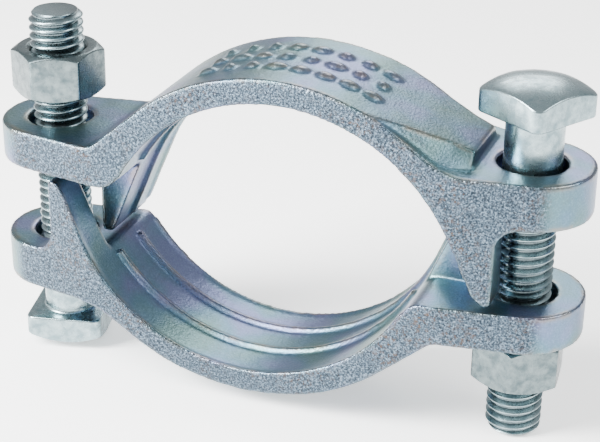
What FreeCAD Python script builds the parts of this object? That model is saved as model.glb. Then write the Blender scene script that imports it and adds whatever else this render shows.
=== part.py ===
"""Double-bolt hose clamp, built as a parametric document.

Frame: +Z along the two bolts, +X from the left bolt to the right one, +Y along the hose.
The origin is the centre of the closed clamp. Lengths are in millimetres, angles in degrees.

Both castings come from one pattern. The pattern is drawn as the upper half. Its lug on the +X side
takes the square head, so it is the thicker one, and its lug on the -X side takes the nut. The lower
half is the same casting turned half a turn about the Y axis.
"""
import FreeCAD, Part
import Sketcher
import math
import os
import re
from FreeCAD import Placement, Rotation, Vector

# Driving dimensions: alias, value, what it is.
DIMENSIONS = [
    ("band_width", 33.5, "width of each casting along the hose"),
    ("draft", 1.9, "slope of the front and back faces, from the parting plane up"),
    ("grip_radius", 43.9, "inside radius of each half's arc, at the foot of the ridges"),
    ("arc_shift", 4.6, "inside arc's centre from the middle, towards the head lug"),
    ("arc_drop", 10.4, "inside arc's centre below the parting plane"),
    ("bolt_room", 25.7, "how much further apart the bolts stand than the bore's diameter"),
    ("bolt_spacing", "=2 * grip_radius + bolt_room", "from bolt axis to bolt axis"),
    ("wall_step", 7.1, "outside radius of each arc over its inside radius"),
    ("wall_shift", -0.8, "outside arc's centre from the inside arc's, towards the head lug"),
    ("wall_drop", 1.9, "outside arc's centre below the inside arc's"),
    ("outer_radius", "=grip_radius + wall_step", "outside radius of each half's arc"),
    ("outer_shift", "=arc_shift + wall_shift", "outside arc's centre, towards the head lug"),
    ("outer_drop", "=arc_drop + wall_drop", "outside arc's centre below the parting plane"),
    ("rooting", 2.9, "how deep a feature is rooted in the metal it joins"),
    ("lug_radius", 13.8, "rounded end of each lug"),
    ("lug_taper", 17.0, "length over which a lug narrows from the band to its round end"),
    ("nut_lug_level", 7.1, "underside of the nut lug above the parting plane"),
    ("nut_lug_thickness", 9.2, "thickness of the nut lug"),
    ("head_lug_level", 12.7, "underside of the head lug above the parting plane"),
    ("head_lug_thickness", 10.7, "thickness of the head lug"),
    ("haunch_slope", 32.5, "slope of the outside where the arc runs into the head lug"),
    ("nut_haunch_slope", 41.0, "slope of the outside where the arc runs into the nut lug"),
    ("stop_slope", 19.5, "slope of the raised pad that ends in the head stop"),
    ("stop_offset", 10.45, "face of the head stop from the bolt axis"),
    ("stop_width", 16.0, "width of the head stop's top edge"),
    ("stop_foot", 22.0, "width of the head stop where it meets the lug"),
    ("stop_run", 4.5, "length of the steep end of the head stop's sides"),
    ("skirt_foot", 30.5, "width of the head stop's foot where that steep end starts"),
    ("stop_sink", 0.5, "how far the head stop's foot is sunk into the lug"),
    ("tongue_flare", 22.9, "slope of the tongues' inner faces from the bolt direction"),
    ("front_tongue_edge", 6.0, "front tongue's inner side from the middle of the width"),
    ("front_tongue_offset", 3.6, "front tongue's outer face from the bolt axis"),
    ("rear_tongue_edge", 2.0, "rear tongue's front side from the middle of the width"),
    ("rear_tongue_offset", 10.6, "rear tongue's outer face from the bolt axis"),
    ("seat_gap", 1.5, "gap left between a tongue's tip and the lug it faces"),
    ("bolt_clearance", 1.6, "room round the bolt where it passes a tongue"),
    ("ridge_height", 1.2, "grip ridges above the arc"),
    ("ridge_base", 3.0, "width of a grip ridge at its foot"),
    ("ridge_crest", 0.8, "width of a grip ridge at its crest"),
    ("ridge_front", 4.2, "front grip ridge in front of the middle"),
    ("ridge_rear", 6.3, "rear grip ridge behind the middle"),
    ("rim_height", 0.5, "raised rims along both edges of the arc"),
    ("rim_width", 3.0, "width of those rims"),
    ("ridge_root", 1.0, "how far ridges and rims are rooted in the wall"),
    ("tongue_ridge_end", 3.9, "end of the tongues' ridges before the tip"),
    ("shank_diameter", 12.7, "plain shank of the bolt"),
    ("hole_play", 2.4, "how much wider the lug's hole is than the shank"),
    ("hole_diameter", "=shank_diameter + hole_play", "clearance hole for the bolt"),
    ("thread_allowance", 0.1, "how much smaller the made thread is than the shank"),
    ("thread_diameter", "=shank_diameter - thread_allowance", "major diameter of the thread"),
    ("bolt_length", 76.2, "bolt length under the head"),
    ("thread_length", 57.0, "threaded length"),
    ("bolt_chamfer", 1.2, "chamfer at the bolt's tip"),
    ("neck_radius", 1.2, "fillet between head and shank"),
    ("head_flats", 18.5, "square head across flats"),
    ("head_height", 8.2, "square head, to the top of its crown"),
    ("head_side", 4.9, "height of the head's sides at the corners"),
    ("head_corner", 2.1, "radius of the head's corners"),
    ("nut_flats", 19.05, "hexagon nut across flats"),
    ("nut_thickness", 11.0, "hexagon nut thickness"),
    ("nut_chamfer", 30.0, "angle of the nut's chamfers"),
    ("nut_face", 18.4, "diameter where the nut's chamfers start"),
    ("thread_clearance", 0.05, "radial clearance between the thread and the nut's bore"),
    ("bore_chamfer", 0.8, "chamfer at both ends of the nut's bore"),
    ("right_head_gap", 10.8, "right head above its lug, as it stands"),
    ("left_head_gap", 10.6, "left head below its lug, as it stands"),
    ("right_nut_gap", 1.4, "right nut below its lug, as it stands"),
    ("left_nut_gap", 6.2, "left nut above its lug, as it stands"),
    ("right_head_turn", -30.4, "right head turned about its axis"),
    ("left_head_turn", 13.6, "left head turned about its axis"),
    ("right_nut_turn", 35.6, "right nut turned about its axis"),
    ("left_nut_turn", 24.0, "left nut turned about its axis"),
]

SHOULDER_RADIUS_NUT_SIDE = 5.0    # inner surface into the nut lug's underside
SHOULDER_RADIUS_HEAD_SIDE = 3.5   # inner surface into the head lug's underside
CORNER_RADIUS = 4.0               # arc into the nut lug's top
HAUNCH_RADIUS = 16.0              # haunch into the head lug's top
FRONT_ROOT_RADIUS = 5.0           # front tongue into the lug's underside
REAR_ROOT_RADIUS = 2.5            # rear tongue into the lug's underside
FRONT_TIP_RADIUS = 2.8            # front tongue's tip, on the bore's side
REAR_TIP_RADIUS = 0.8             # tip of the rear tongue
RIDGE_END_HEAD_SIDE = 3.0         # ridges stop this many degrees above the head lug's shoulder
RIDGE_END_NUT_SIDE = 5.0          # and this many above the nut lug's shoulder
CHORD_ANGLE = 40.0                # where a tongue's root meets the arc, above its centre line
OVERCUT = 20.0                    # how far cuts run past the metal
NEAR = 0.01                       # tolerance for finding an edge by its place

NUT_LUG_TOP = "(nut_lug_level + nut_lug_thickness)"
HEAD_LUG_TOP = "(head_lug_level + head_lug_thickness)"

doc = FreeCAD.newDocument("hose_clamp")
sheet = doc.addObject("Spreadsheet::Sheet", "dims")
for row, (alias, value, meaning) in enumerate(DIMENSIONS, start=1):
    sheet.set(f"A{row}", meaning)
    sheet.set(f"B{row}", str(value))
    sheet.setAlias(f"B{row}", alias)
doc.recompute()

ALIAS_PATTERN = re.compile(r"\b(" + "|".join(alias for alias, _, _ in DIMENSIONS) + r")\b")


def bound(text):
    """Turn a formula in plain aliases into one that reads the sheet."""
    return ALIAS_PATTERN.sub(r"dims.\1", text)


def size(alias):
    """Read one driving dimension as a number."""
    return float(sheet.get(alias))


# ---------------------------------------------------------------- sketches

def new_sketch(body, name, role, offset=None):
    """Put a sketch on one of the body's origin planes, moved along the plane's normal."""
    plane = next(item for item in body.Origin.OriginFeatures if item.Role == role)
    sketch = body.newObject("Sketcher::SketchObject", name)
    sketch.AttachmentSupport = (plane, [""])
    sketch.MapMode = "FlatFace"
    if offset is not None:
        sketch.setExpression(".AttachmentOffset.Base.z", bound(offset))
    return sketch


def new_radial_sketch(body, name, angle):
    """Put a sketch in the plane through the arc's own axis, at an angle above +X."""
    sketch = new_sketch(body, name, "XY_Plane", "-arc_drop")
    sketch.setExpression(".AttachmentOffset.Base.x", bound("arc_shift"))
    sketch.AttachmentOffset = Placement(sketch.AttachmentOffset.Base, Rotation(Vector(0, -1, 0), 1))
    sketch.setExpression(".AttachmentOffset.Rotation.Angle", bound(angle))
    return sketch


def drive(sketch, kind, *where, formula):
    """Add one dimension to a sketch and bind it to the sheet."""
    index = sketch.addConstraint(Sketcher.Constraint(kind, *where, 1.0))
    name = f"{kind.lower()}_{index}"
    sketch.renameConstraint(index, name)
    sketch.setExpression(f"Constraints.{name}", bound(formula))


def place_point(sketch, geometry, point, x, y):
    """Fix one point of a sketch at two formulas."""
    drive(sketch, "DistanceX", -1, 1, geometry, point, formula=x)
    drive(sketch, "DistanceY", -1, 1, geometry, point, formula=y)


def polygon(sketch, corners):
    """Draw a closed polygon whose corners are pairs of formulas."""
    count = len(corners)
    first = sketch.GeometryCount
    ring = [Vector(math.cos(2 * math.pi * k / count), math.sin(2 * math.pi * k / count), 0)
            for k in range(count)]
    for k in range(count):
        sketch.addGeometry(Part.LineSegment(ring[k], ring[(k + 1) % count]), False)
    for k in range(count):
        after = first + (k + 1) % count
        sketch.addConstraint(Sketcher.Constraint("Coincident", first + k, 2, after, 1))
    for k, (x, y) in enumerate(corners):
        place_point(sketch, first + k, 1, x, y)


def circle(sketch, x, y, radius):
    """Draw a circle from formulas for its centre and radius."""
    index = sketch.addGeometry(Part.Circle(Vector(0, 0, 0), Vector(0, 0, 1), 1.0), False)
    place_point(sketch, index, 3, x, y)
    drive(sketch, "Radius", index, formula=radius)


# ---------------------------------------------------------------- features

def check_change(body, before, grows, name):
    """Stop if a feature that should add or remove metal did not."""
    after = body.Shape.Volume
    changed = after > before if grows else after < before
    if not changed:
        raise RuntimeError(f"{name} left the volume of {body.Name} at {after:.1f}")


def extrude(body, kind, sketch, length, symmetric=False, flip=False):
    """Pad or pocket a sketch by a formula, and check that it changed the body."""
    before = body.Shape.Volume if body.Tip else 0.0
    feature = body.newObject(f"PartDesign::{kind}", sketch.Name.replace("sketch", kind.lower()))
    feature.Profile = sketch
    feature.SideType = "Symmetric" if symmetric else "One side"
    feature.Reversed = flip
    feature.setExpression("Length", bound(length))
    doc.recompute()
    check_change(body, before, kind == "Pad", feature.Name)
    return feature


def spin(body, kind, sketch, angle="360", flip=False):
    """Turn a sketch about its own vertical axis to add metal or cut a groove."""
    before = body.Shape.Volume if body.Tip else 0.0
    feature = body.newObject(f"PartDesign::{kind}", sketch.Name.replace("sketch", kind.lower()))
    feature.Profile = sketch
    feature.ReferenceAxis = (sketch, ["V_Axis"])
    feature.Reversed = flip
    feature.setExpression("Angle", bound(angle))
    doc.recompute()
    check_change(body, before, kind == "Revolution", feature.Name)
    return feature


def dress(body, kind, name, edges, value):
    """Round or chamfer edges that were found by their place."""
    if not edges:
        raise RuntimeError(f"no edge found for {name}")
    base = body.Tip
    feature = body.newObject(f"PartDesign::{kind}", name)
    feature.Base = (base, edges)
    if kind == "Fillet":
        feature.Radius = value
    else:
        feature.Size = value
    doc.recompute()
    return feature


def edges_where(body, test):
    """Name the straight edges of the body's last feature that pass a test on their two ends."""
    names = []
    for number, edge in enumerate(body.Tip.Shape.Edges, start=1):
        if isinstance(edge.Curve, Part.Line) and test(edge.Vertexes[0].Point, edge.Vertexes[-1].Point):
            names.append(f"Edge{number}")
    return names


def innermost_cross_edge(body, side, level):
    """Find the edge across the width, at one height, that lies nearest the middle of the clamp."""
    found = []
    for number, edge in enumerate(body.Tip.Shape.Edges, start=1):
        if not isinstance(edge.Curve, Part.Line):
            continue
        one, two = edge.Vertexes[0].Point, edge.Vertexes[-1].Point
        across = abs(one.x - two.x) < NEAR and abs(one.z - two.z) < NEAR
        if across and one.x * side > 0 and abs(one.z - level) < NEAR:
            found.append((abs(one.x), f"Edge{number}"))
    return [name for distance, name in sorted(found) if distance - min(found)[0] < NEAR]


# ---------------------------------------------------------------- casting

def outer_tangent(slope, side):
    """Point of the outside arc where a straight run of that slope leaves it, on either side."""
    sign = "+" if side > 0 else "-"
    x = f"(outer_shift {sign} outer_radius * sin({slope} * 1 deg))"
    z = f"(-outer_drop + outer_radius * cos({slope} * 1 deg))"
    return x, z


def add_band_and_lugs(body):
    """Arc, head lug with its haunch, and nut lug, as solid blocks."""
    sketch = new_sketch(body, "arc_sketch", "XZ_Plane")
    circle(sketch, "outer_shift", "-outer_drop", "outer_radius")
    extrude(body, "Pad", sketch, "band_width", symmetric=True)

    tangent_x, tangent_z = outer_tangent("haunch_slope", 1)
    sketch = new_sketch(body, "head_lug_sketch", "XZ_Plane")
    polygon(sketch, [
        (tangent_x, tangent_z),
        (f"{tangent_x} + ({tangent_z} - {HEAD_LUG_TOP}) / tan(haunch_slope * 1 deg)", HEAD_LUG_TOP),
        ("bolt_spacing / 2 + lug_radius", HEAD_LUG_TOP),
        ("bolt_spacing / 2 + lug_radius", "head_lug_level"),
        (tangent_x, "head_lug_level"),
    ])
    extrude(body, "Pad", sketch, "band_width", symmetric=True)

    tangent_x, tangent_z = outer_tangent("nut_haunch_slope", -1)
    sketch = new_sketch(body, "nut_lug_sketch", "XZ_Plane")
    run = f"({tangent_z} - {NUT_LUG_TOP}) / tan(nut_haunch_slope * 1 deg)"
    polygon(sketch, [
        (tangent_x, tangent_z),
        (f"{tangent_x} - {run}", NUT_LUG_TOP),
        ("-bolt_spacing / 2 - lug_radius", NUT_LUG_TOP),
        ("-bolt_spacing / 2 - lug_radius", "nut_lug_level"),
        (tangent_x, "nut_lug_level"),
    ])
    extrude(body, "Pad", sketch, "band_width", symmetric=True)


def cut_bore(body, name):
    """Bore of the arc, through the whole width."""
    sketch = new_sketch(body, name, "XZ_Plane")
    circle(sketch, "arc_shift", "-arc_drop", "grip_radius")
    extrude(body, "Pocket", sketch, f"band_width + {OVERCUT}", symmetric=True)


def open_lower_side(body):
    """Everything below the two lugs' undersides goes."""
    far = f"(bolt_spacing / 2 + lug_radius + {OVERCUT})"
    depth = f"(-grip_radius - arc_drop - {OVERCUT})"
    sketch = new_sketch(body, "open_side_sketch", "XZ_Plane")
    polygon(sketch, [
        (f"-{far}", "nut_lug_level"),
        ("arc_shift", "nut_lug_level"),
        ("arc_shift", "head_lug_level"),
        (far, "head_lug_level"),
        (far, depth),
        (f"-{far}", depth),
    ])
    extrude(body, "Pocket", sketch, f"band_width + {OVERCUT}", symmetric=True)


def round_shoulders(body):
    """Rounded turns from the arc to the lugs, inside and outside."""
    nut_level = size("nut_lug_level")
    head_level = size("head_lug_level")
    nut_top = nut_level + size("nut_lug_thickness")
    head_top = head_level + size("head_lug_thickness")
    for name, side, level, radius in (
            ("nut_shoulder", -1, nut_level, SHOULDER_RADIUS_NUT_SIDE),
            ("head_shoulder", 1, head_level, SHOULDER_RADIUS_HEAD_SIDE),
            ("nut_corner", -1, nut_top, CORNER_RADIUS),
            ("haunch_corner", 1, head_top, HAUNCH_RADIUS)):
        dress(body, "Fillet", name, innermost_cross_edge(body, side, level), radius)


def add_tongue(body, name, side, outer_offset, drop, root_level, start, length):
    """One tongue: its inner face is tangent to the arc, and its outer face stands beside the bolt."""
    sign = "" if side > 0 else "-"
    tangent_x = f"(arc_shift {'+' if side > 0 else '-'} grip_radius * cos(tongue_flare * 1 deg))"
    tangent_z = "(-arc_drop + grip_radius * sin(tongue_flare * 1 deg))"
    chord_x = f"(arc_shift {'+' if side > 0 else '-'} grip_radius * cos({CHORD_ANGLE} deg))"
    chord_z = f"(-arc_drop + grip_radius * sin({CHORD_ANGLE} deg))"
    tip_z = f"(-{drop} + seat_gap)"
    tip_x = f"({tangent_x} {'+' if side > 0 else '-'} ({tangent_z} - {tip_z}) * tan(tongue_flare * 1 deg))"
    outer_x = f"{sign}(bolt_spacing / 2 - {outer_offset})"
    root_z = f"({root_level} + rooting)"
    sketch = new_sketch(body, f"{name}_sketch", "XZ_Plane", start)
    polygon(sketch, [
        (tip_x, tip_z),
        (tangent_x, tangent_z),
        (chord_x, chord_z),
        (outer_x, root_z),
        (outer_x, tip_z),
    ])
    extrude(body, "Pad", sketch, length)


def add_tongues(body):
    """Front tongue under the head lug, rear tongue under the nut lug."""
    add_tongue(body, "front_tongue", 1, "front_tongue_offset", "nut_lug_level", "head_lug_level",
               "front_tongue_edge", "band_width / 2 - front_tongue_edge")
    add_tongue(body, "rear_tongue", -1, "rear_tongue_offset", "head_lug_level", "nut_lug_level",
               "-band_width / 2", "band_width / 2 + rear_tongue_edge")


def add_head_stop(body):
    """Raised pad on the head lug that ends in a wall, so that the square head can't turn.

    It starts as wide as the band and narrows to the wall, with sloping sides.
    """
    tangent_x, tangent_z = outer_tangent("stop_slope", 1)
    stop_x = "(bolt_spacing / 2 - stop_offset)"
    skirt_x = f"({stop_x} - stop_run)"
    stop_z = f"({tangent_z} - ({stop_x} - {tangent_x}) * tan(stop_slope * 1 deg))"
    skirt_z = f"({tangent_z} - ({skirt_x} - {tangent_x}) * tan(stop_slope * 1 deg))"
    foot_z = f"{HEAD_LUG_TOP} - stop_sink"
    sections = (
        ("stop_start", tangent_x, "band_width / 2", tangent_z, "band_width / 2", f"{tangent_z} - rooting"),
        ("stop_skirt", skirt_x, "(stop_width / 2 + stop_sink)", skirt_z, "skirt_foot / 2", foot_z),
        ("stop_wall", stop_x, "stop_width / 2", stop_z, "stop_foot / 2", foot_z),
    )
    sketches = []
    for name, x, top_y, top_z, foot_y, foot_z in sections:
        sketch = new_sketch(body, f"{name}_sketch", "YZ_Plane", x)
        polygon(sketch, [(f"-{top_y}", top_z), (top_y, top_z), (foot_y, foot_z), (f"-{foot_y}", foot_z)])
        sketches.append(sketch)
    loft = body.newObject("PartDesign::AdditiveLoft", "head_stop")
    loft.Profile = sketches[0]
    loft.Sections = sketches[1:]
    loft.Ruled = True
    doc.recompute()


def tip_width(side, offset, tip_z):
    """Thickness of a tongue at its tip, between its inner face and its outer one."""
    flare = math.radians(size("tongue_flare"))
    run = (size("grip_radius") * math.sin(flare) - size("arc_drop") - tip_z) * math.tan(flare)
    inner = side * size("arc_shift") + size("grip_radius") * math.cos(flare) + run
    return size("bolt_spacing") / 2 - offset - inner


def round_tongues(body):
    """Fillets where the tongues leave the lugs, and rounded tips no larger than the tip allows."""
    front_x = size("bolt_spacing") / 2 - size("front_tongue_offset")
    rear_x = -(size("bolt_spacing") / 2 - size("rear_tongue_offset"))
    front_tip = -size("nut_lug_level") + size("seat_gap")
    rear_tip = -size("head_lug_level") + size("seat_gap")

    def cross_edges(level, x=None):
        def is_there(one, two):
            across = abs(one.x - two.x) < NEAR and abs(one.z - two.z) < NEAR
            return across and abs(one.z - level) < NEAR and (x is None or abs(one.x - x) < NEAR)
        return edges_where(body, is_there)

    dress(body, "Fillet", "front_root", cross_edges(size("head_lug_level"), front_x), FRONT_ROOT_RADIUS)
    dress(body, "Fillet", "rear_root", cross_edges(size("nut_lug_level"), rear_x), REAR_ROOT_RADIUS)
    setback = math.tan(math.radians(90 - size("tongue_flare")) / 2)
    front_width = tip_width(1, size("front_tongue_offset"), front_tip)
    rear_width = tip_width(-1, size("rear_tongue_offset"), rear_tip)
    outside = min(REAR_TIP_RADIUS, 0.3 * front_width)
    inside = min(FRONT_TIP_RADIUS, 0.9 * (front_width - outside) / setback)
    dress(body, "Fillet", "front_tip_outside", cross_edges(front_tip, front_x), outside)
    dress(body, "Fillet", "front_tip", innermost_cross_edge(body, 1, front_tip), inside)
    dress(body, "Fillet", "rear_tip", cross_edges(rear_tip), min(REAR_TIP_RADIUS, 0.5 * rear_width))


def add_ridges(body):
    """Grip ridges and edge rims on the arc, and where they run on along the tongues."""
    def ridge_corners(centre):
        return [
            ("grip_radius + ridge_root", f"{centre} - ridge_base / 2"),
            ("grip_radius", f"{centre} - ridge_base / 2"),
            ("grip_radius - ridge_height", f"{centre} - ridge_crest / 2"),
            ("grip_radius - ridge_height", f"{centre} + ridge_crest / 2"),
            ("grip_radius", f"{centre} + ridge_base / 2"),
            ("grip_radius + ridge_root", f"{centre} + ridge_base / 2"),
        ]

    def rim_corners(sign):
        edge = f"{sign}band_width / 2"
        inward = "+" if sign else "-"
        return [
            ("grip_radius + ridge_root", edge),
            ("grip_radius - rim_height", edge),
            ("grip_radius - rim_height", f"{edge} {inward} rim_width / 2"),
            ("grip_radius", f"{edge} {inward} rim_width"),
            ("grip_radius + ridge_root", f"{edge} {inward} rim_width"),
        ]

    front_ridge, rear_ridge = ridge_corners("-ridge_front"), ridge_corners("ridge_rear")
    front_rim, rear_rim = rim_corners("-"), rim_corners("")

    head_side = f"(asin((head_lug_level + arc_drop) / grip_radius) / 1 deg + {RIDGE_END_HEAD_SIDE})"
    nut_side = f"(180 - asin((nut_lug_level + arc_drop) / grip_radius) / 1 deg - {RIDGE_END_NUT_SIDE})"
    runs = [
        ("front_ridge", [front_ridge], head_side, nut_side),
        ("front_rim", [front_rim], "tongue_flare", nut_side),
        ("rear_ridges", [rear_ridge, rear_rim], head_side, "(180 - tongue_flare)"),
    ]
    for name, profiles, start, end in runs:
        sketch = new_radial_sketch(body, f"{name}_sketch", start)
        for corners in profiles:
            polygon(sketch, corners)
        spin(body, "Revolution", sketch, f"{end} - {start}", flip=True)

    tangent_z = "(-arc_drop + grip_radius * sin(tongue_flare * 1 deg))"
    for name, profiles, angle, drop, flip in (
            ("front_tongue_rim", [front_rim], "tongue_flare", "nut_lug_level", True),
            ("rear_tongue_ridges", [rear_ridge, rear_rim], "180 - tongue_flare", "head_lug_level", False)):
        sketch = new_radial_sketch(body, f"{name}_sketch", angle)
        for corners in profiles:
            polygon(sketch, corners)
        length = f"({tangent_z} + {drop}) / cos(tongue_flare * 1 deg) - tongue_ridge_end"
        extrude(body, "Pad", sketch, length, flip=flip)


def draft_faces(body):
    """Slope the front and back faces, so that the casting narrows from the parting plane up."""
    height = f"(2 * grip_radius + {OVERCUT})"
    sketch = new_sketch(body, "draft_sketch", "YZ_Plane")
    for sign in ("", "-"):
        polygon(sketch, [
            (f"{sign}band_width / 2", "0"),
            (f"{sign}(band_width / 2 - {height} * tan(draft * 1 deg))", height),
            (f"{sign}(band_width / 2 + {OVERCUT})", height),
            (f"{sign}(band_width / 2 + {OVERCUT})", "0"),
        ])
    extrude(body, "Pocket", sketch, f"2 * bolt_spacing + {OVERCUT}", symmetric=True)


def trim_lug(body, side):
    """Cut one lug to its plan: straight taper from the band, then a round end."""
    name = "head_lug_plan" if side > 0 else "nut_lug_plan"
    centre, radius = side * size("bolt_spacing") / 2, size("lug_radius")
    start, half = centre - side * size("lug_taper"), size("band_width") / 2
    far, wide = centre + side * 2 * radius, 2 * half
    sign = "" if side > 0 else "-"
    sketch = new_sketch(body, f"{name}_sketch", "XY_Plane")

    touch = [Vector(centre + side * radius * 0.2, way * radius * 0.98, 0) for way in (1, -1)]
    begin = [Vector(start, way * half, 0) for way in (1, -1)]
    corner = [Vector(start, way * wide, 0) for way in (1, -1)]
    outer = [Vector(far, way * wide, 0) for way in (1, -1)]
    angles = sorted(math.atan2(point.y, point.x - centre) % (2 * math.pi) for point in touch)
    if side > 0:
        angles = [angles[1] - 2 * math.pi, angles[0]]
    path = [begin[0], corner[0], outer[0], outer[1], corner[1], begin[1]]
    for one, two in zip(path, path[1:]):
        sketch.addGeometry(Part.LineSegment(one, two), False)
    upper = sketch.addGeometry(Part.LineSegment(touch[0], begin[0]), False)
    lower = sketch.addGeometry(Part.LineSegment(begin[1], touch[1]), False)
    ring = Part.Circle(Vector(centre, 0, 0), Vector(0, 0, 1), radius)
    arc = sketch.addGeometry(Part.ArcOfCircle(ring, angles[0], angles[1]), False)
    upper_end, lower_end = (2, 1) if side > 0 else (1, 2)

    for k in range(4):
        sketch.addConstraint(Sketcher.Constraint("Coincident", k, 2, k + 1, 1))
    sketch.addConstraint(Sketcher.Constraint("Coincident", upper, 2, 0, 1))
    sketch.addConstraint(Sketcher.Constraint("Coincident", 4, 2, lower, 1))
    sketch.addConstraint(Sketcher.Constraint("Tangent", upper, 1, arc, upper_end))
    sketch.addConstraint(Sketcher.Constraint("Tangent", lower, 2, arc, lower_end))
    begin_x = f"{sign}(bolt_spacing / 2 - lug_taper)"
    far_x = f"{sign}(bolt_spacing / 2 + 2 * lug_radius)"
    place_point(sketch, arc, 3, f"{sign}bolt_spacing / 2", "0")
    drive(sketch, "Radius", arc, formula="lug_radius")
    place_point(sketch, 0, 1, begin_x, "band_width / 2")
    place_point(sketch, 4, 2, begin_x, "-band_width / 2")
    place_point(sketch, 1, 1, begin_x, "band_width")
    place_point(sketch, 2, 1, far_x, "band_width")
    place_point(sketch, 3, 1, far_x, "-band_width")
    place_point(sketch, 4, 1, begin_x, "-band_width")
    extrude(body, "Pocket", sketch, f"4 * grip_radius + {OVERCUT}", symmetric=True)


def cut_holes(body):
    """Room round the bolt beside the front tongue, then the two bolt holes."""
    sketch = new_sketch(body, "bolt_room_sketch", "XY_Plane", "head_lug_level")
    circle(sketch, "bolt_spacing / 2", "0", "shank_diameter / 2 + bolt_clearance")
    extrude(body, "Pocket", sketch, f"head_lug_level + nut_lug_level + {OVERCUT}")

    sketch = new_sketch(body, "bolt_holes_sketch", "XY_Plane")
    for x in ("bolt_spacing / 2", "-bolt_spacing / 2"):
        circle(sketch, x, "0", "hole_diameter / 2")
    extrude(body, "Pocket", sketch, f"4 * grip_radius + {OVERCUT}", symmetric=True)


def make_casting(name):
    """One casting, drawn as the upper half."""
    body = doc.addObject("PartDesign::Body", name)
    body.Label = name
    add_band_and_lugs(body)
    cut_bore(body, "bore_sketch")
    open_lower_side(body)
    round_shoulders(body)
    add_tongues(body)
    add_head_stop(body)
    cut_bore(body, "bore_finish_sketch")
    round_tongues(body)
    add_ridges(body)
    draft_faces(body)
    trim_lug(body, 1)
    trim_lug(body, -1)
    cut_holes(body)
    return body


# ---------------------------------------------------------------- fasteners

def crown_sketch(body):
    """Draw what the groove takes off the head's top: everything outside a ball through its corners."""
    corner = "(head_flats / 2 * sqrt(2) - head_corner * (sqrt(2) - 1))"
    rise = "(head_height - head_side)"
    radius = f"(({corner} * {corner} + {rise} * {rise}) / (2 * {rise}))"
    top = f"(head_height + {OVERCUT})"
    sketch = new_sketch(body, "crown_sketch", "XZ_Plane")
    ball = Part.Circle(Vector(0, -2, 0), Vector(0, 0, 1), 3.0)
    arc = sketch.addGeometry(Part.ArcOfCircle(ball, math.radians(60), math.radians(90)), False)
    ring = [Vector(0, 1, 0), Vector(0, 2, 0), Vector(1.5, 2, 0), Vector(1.5, 0.6, 0)]
    lines = [sketch.addGeometry(Part.LineSegment(one, two), False) for one, two in zip(ring, ring[1:])]
    sketch.addConstraint(Sketcher.Constraint("Coincident", arc, 2, lines[0], 1))
    sketch.addConstraint(Sketcher.Constraint("Coincident", lines[0], 2, lines[1], 1))
    sketch.addConstraint(Sketcher.Constraint("Coincident", lines[1], 2, lines[2], 1))
    sketch.addConstraint(Sketcher.Constraint("Coincident", lines[2], 2, arc, 1))
    place_point(sketch, arc, 3, "0", f"head_height - {radius}")
    drive(sketch, "Radius", arc, formula=radius)
    drive(sketch, "DistanceX", -1, 1, lines[0], 1, formula="0")
    place_point(sketch, lines[1], 1, "0", top)
    place_point(sketch, lines[2], 1, "head_flats", top)
    drive(sketch, "DistanceX", -1, 1, arc, 1, formula="head_flats")
    return sketch


def make_bolt(name):
    """Square-head bolt, drawn head up with its bearing face at zero."""
    body = doc.addObject("PartDesign::Body", name)
    body.Label = name
    sketch = new_sketch(body, "head_sketch", "XY_Plane")
    half = "head_flats / 2"
    polygon(sketch, [(half, half), (f"-{half}", half), (f"-{half}", f"-{half}"), (half, f"-{half}")])
    extrude(body, "Pad", sketch, "head_height")
    upright = edges_where(body, lambda one, two: abs(one.z - two.z) > NEAR)
    dress(body, "Fillet", "head_corners", upright, size("head_corner"))
    spin(body, "Groove", crown_sketch(body))

    shank, thread = "shank_diameter / 2", "thread_diameter / 2"
    sketch = new_sketch(body, "shank_sketch", "XZ_Plane")
    polygon(sketch, [
        ("0", "head_side / 2"),
        (shank, "head_side / 2"),
        (shank, "thread_length - bolt_length"),
        (thread, "thread_length - bolt_length"),
        (thread, "bolt_chamfer - bolt_length"),
        (f"{thread} - bolt_chamfer", "-bolt_length"),
        ("0", "-bolt_length"),
    ])
    spin(body, "Revolution", sketch)
    neck = [f"Edge{number}" for number, edge in enumerate(body.Tip.Shape.Edges, start=1)
            if not edge.Degenerated and isinstance(edge.Curve, Part.Circle)
            and abs(edge.Curve.Center.z) < NEAR
            and abs(edge.Curve.Radius - size("shank_diameter") / 2) < NEAR]
    dress(body, "Fillet", "neck", neck, size("neck_radius"))
    return body


def make_nut(name):
    """Hexagon nut, drawn standing on zero."""
    body = doc.addObject("PartDesign::Body", name)
    body.Label = name
    sketch = new_sketch(body, "hexagon_sketch", "XY_Plane")
    corner = "nut_flats / sqrt(3)"
    polygon(sketch, [(f"{corner} * cos({60 * k} deg)", f"{corner} * sin({60 * k} deg)") for k in range(6)])
    extrude(body, "Pad", sketch, "nut_thickness")

    inner, outer = "nut_face / 2", "nut_flats"
    fall = f"({outer} - {inner}) * tan(nut_chamfer * 1 deg)"
    sketch = new_sketch(body, "nut_chamfer_sketch", "XZ_Plane")
    top, below = f"nut_thickness + {OVERCUT}", f"-{OVERCUT}"
    upper_fall = f"nut_thickness - {fall}"
    polygon(sketch, [(inner, "nut_thickness"), (outer, upper_fall), (outer, top), (inner, top)])
    polygon(sketch, [(inner, below), (outer, below), (outer, fall), (inner, "0")])
    spin(body, "Groove", sketch)

    bore = "(thread_diameter / 2 + thread_clearance)"
    sketch = new_sketch(body, "nut_bore_sketch", "XZ_Plane")
    polygon(sketch, [
        ("0", "0"),
        (f"{bore} + bore_chamfer", "0"),
        (bore, "bore_chamfer"),
        (bore, "nut_thickness - bore_chamfer"),
        (f"{bore} + bore_chamfer", "nut_thickness"),
        ("0", "nut_thickness"),
    ])
    spin(body, "Groove", sketch)
    return body


def place(body, rotation, x="0", z="0"):
    """Put a body in the clamp, turned by a rotation and moved by formulas."""
    body.Placement = Placement(Vector(0, 0, 0), rotation)
    body.setExpression("Placement.Base.x", bound(x))
    body.setExpression("Placement.Base.z", bound(z))


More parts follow.
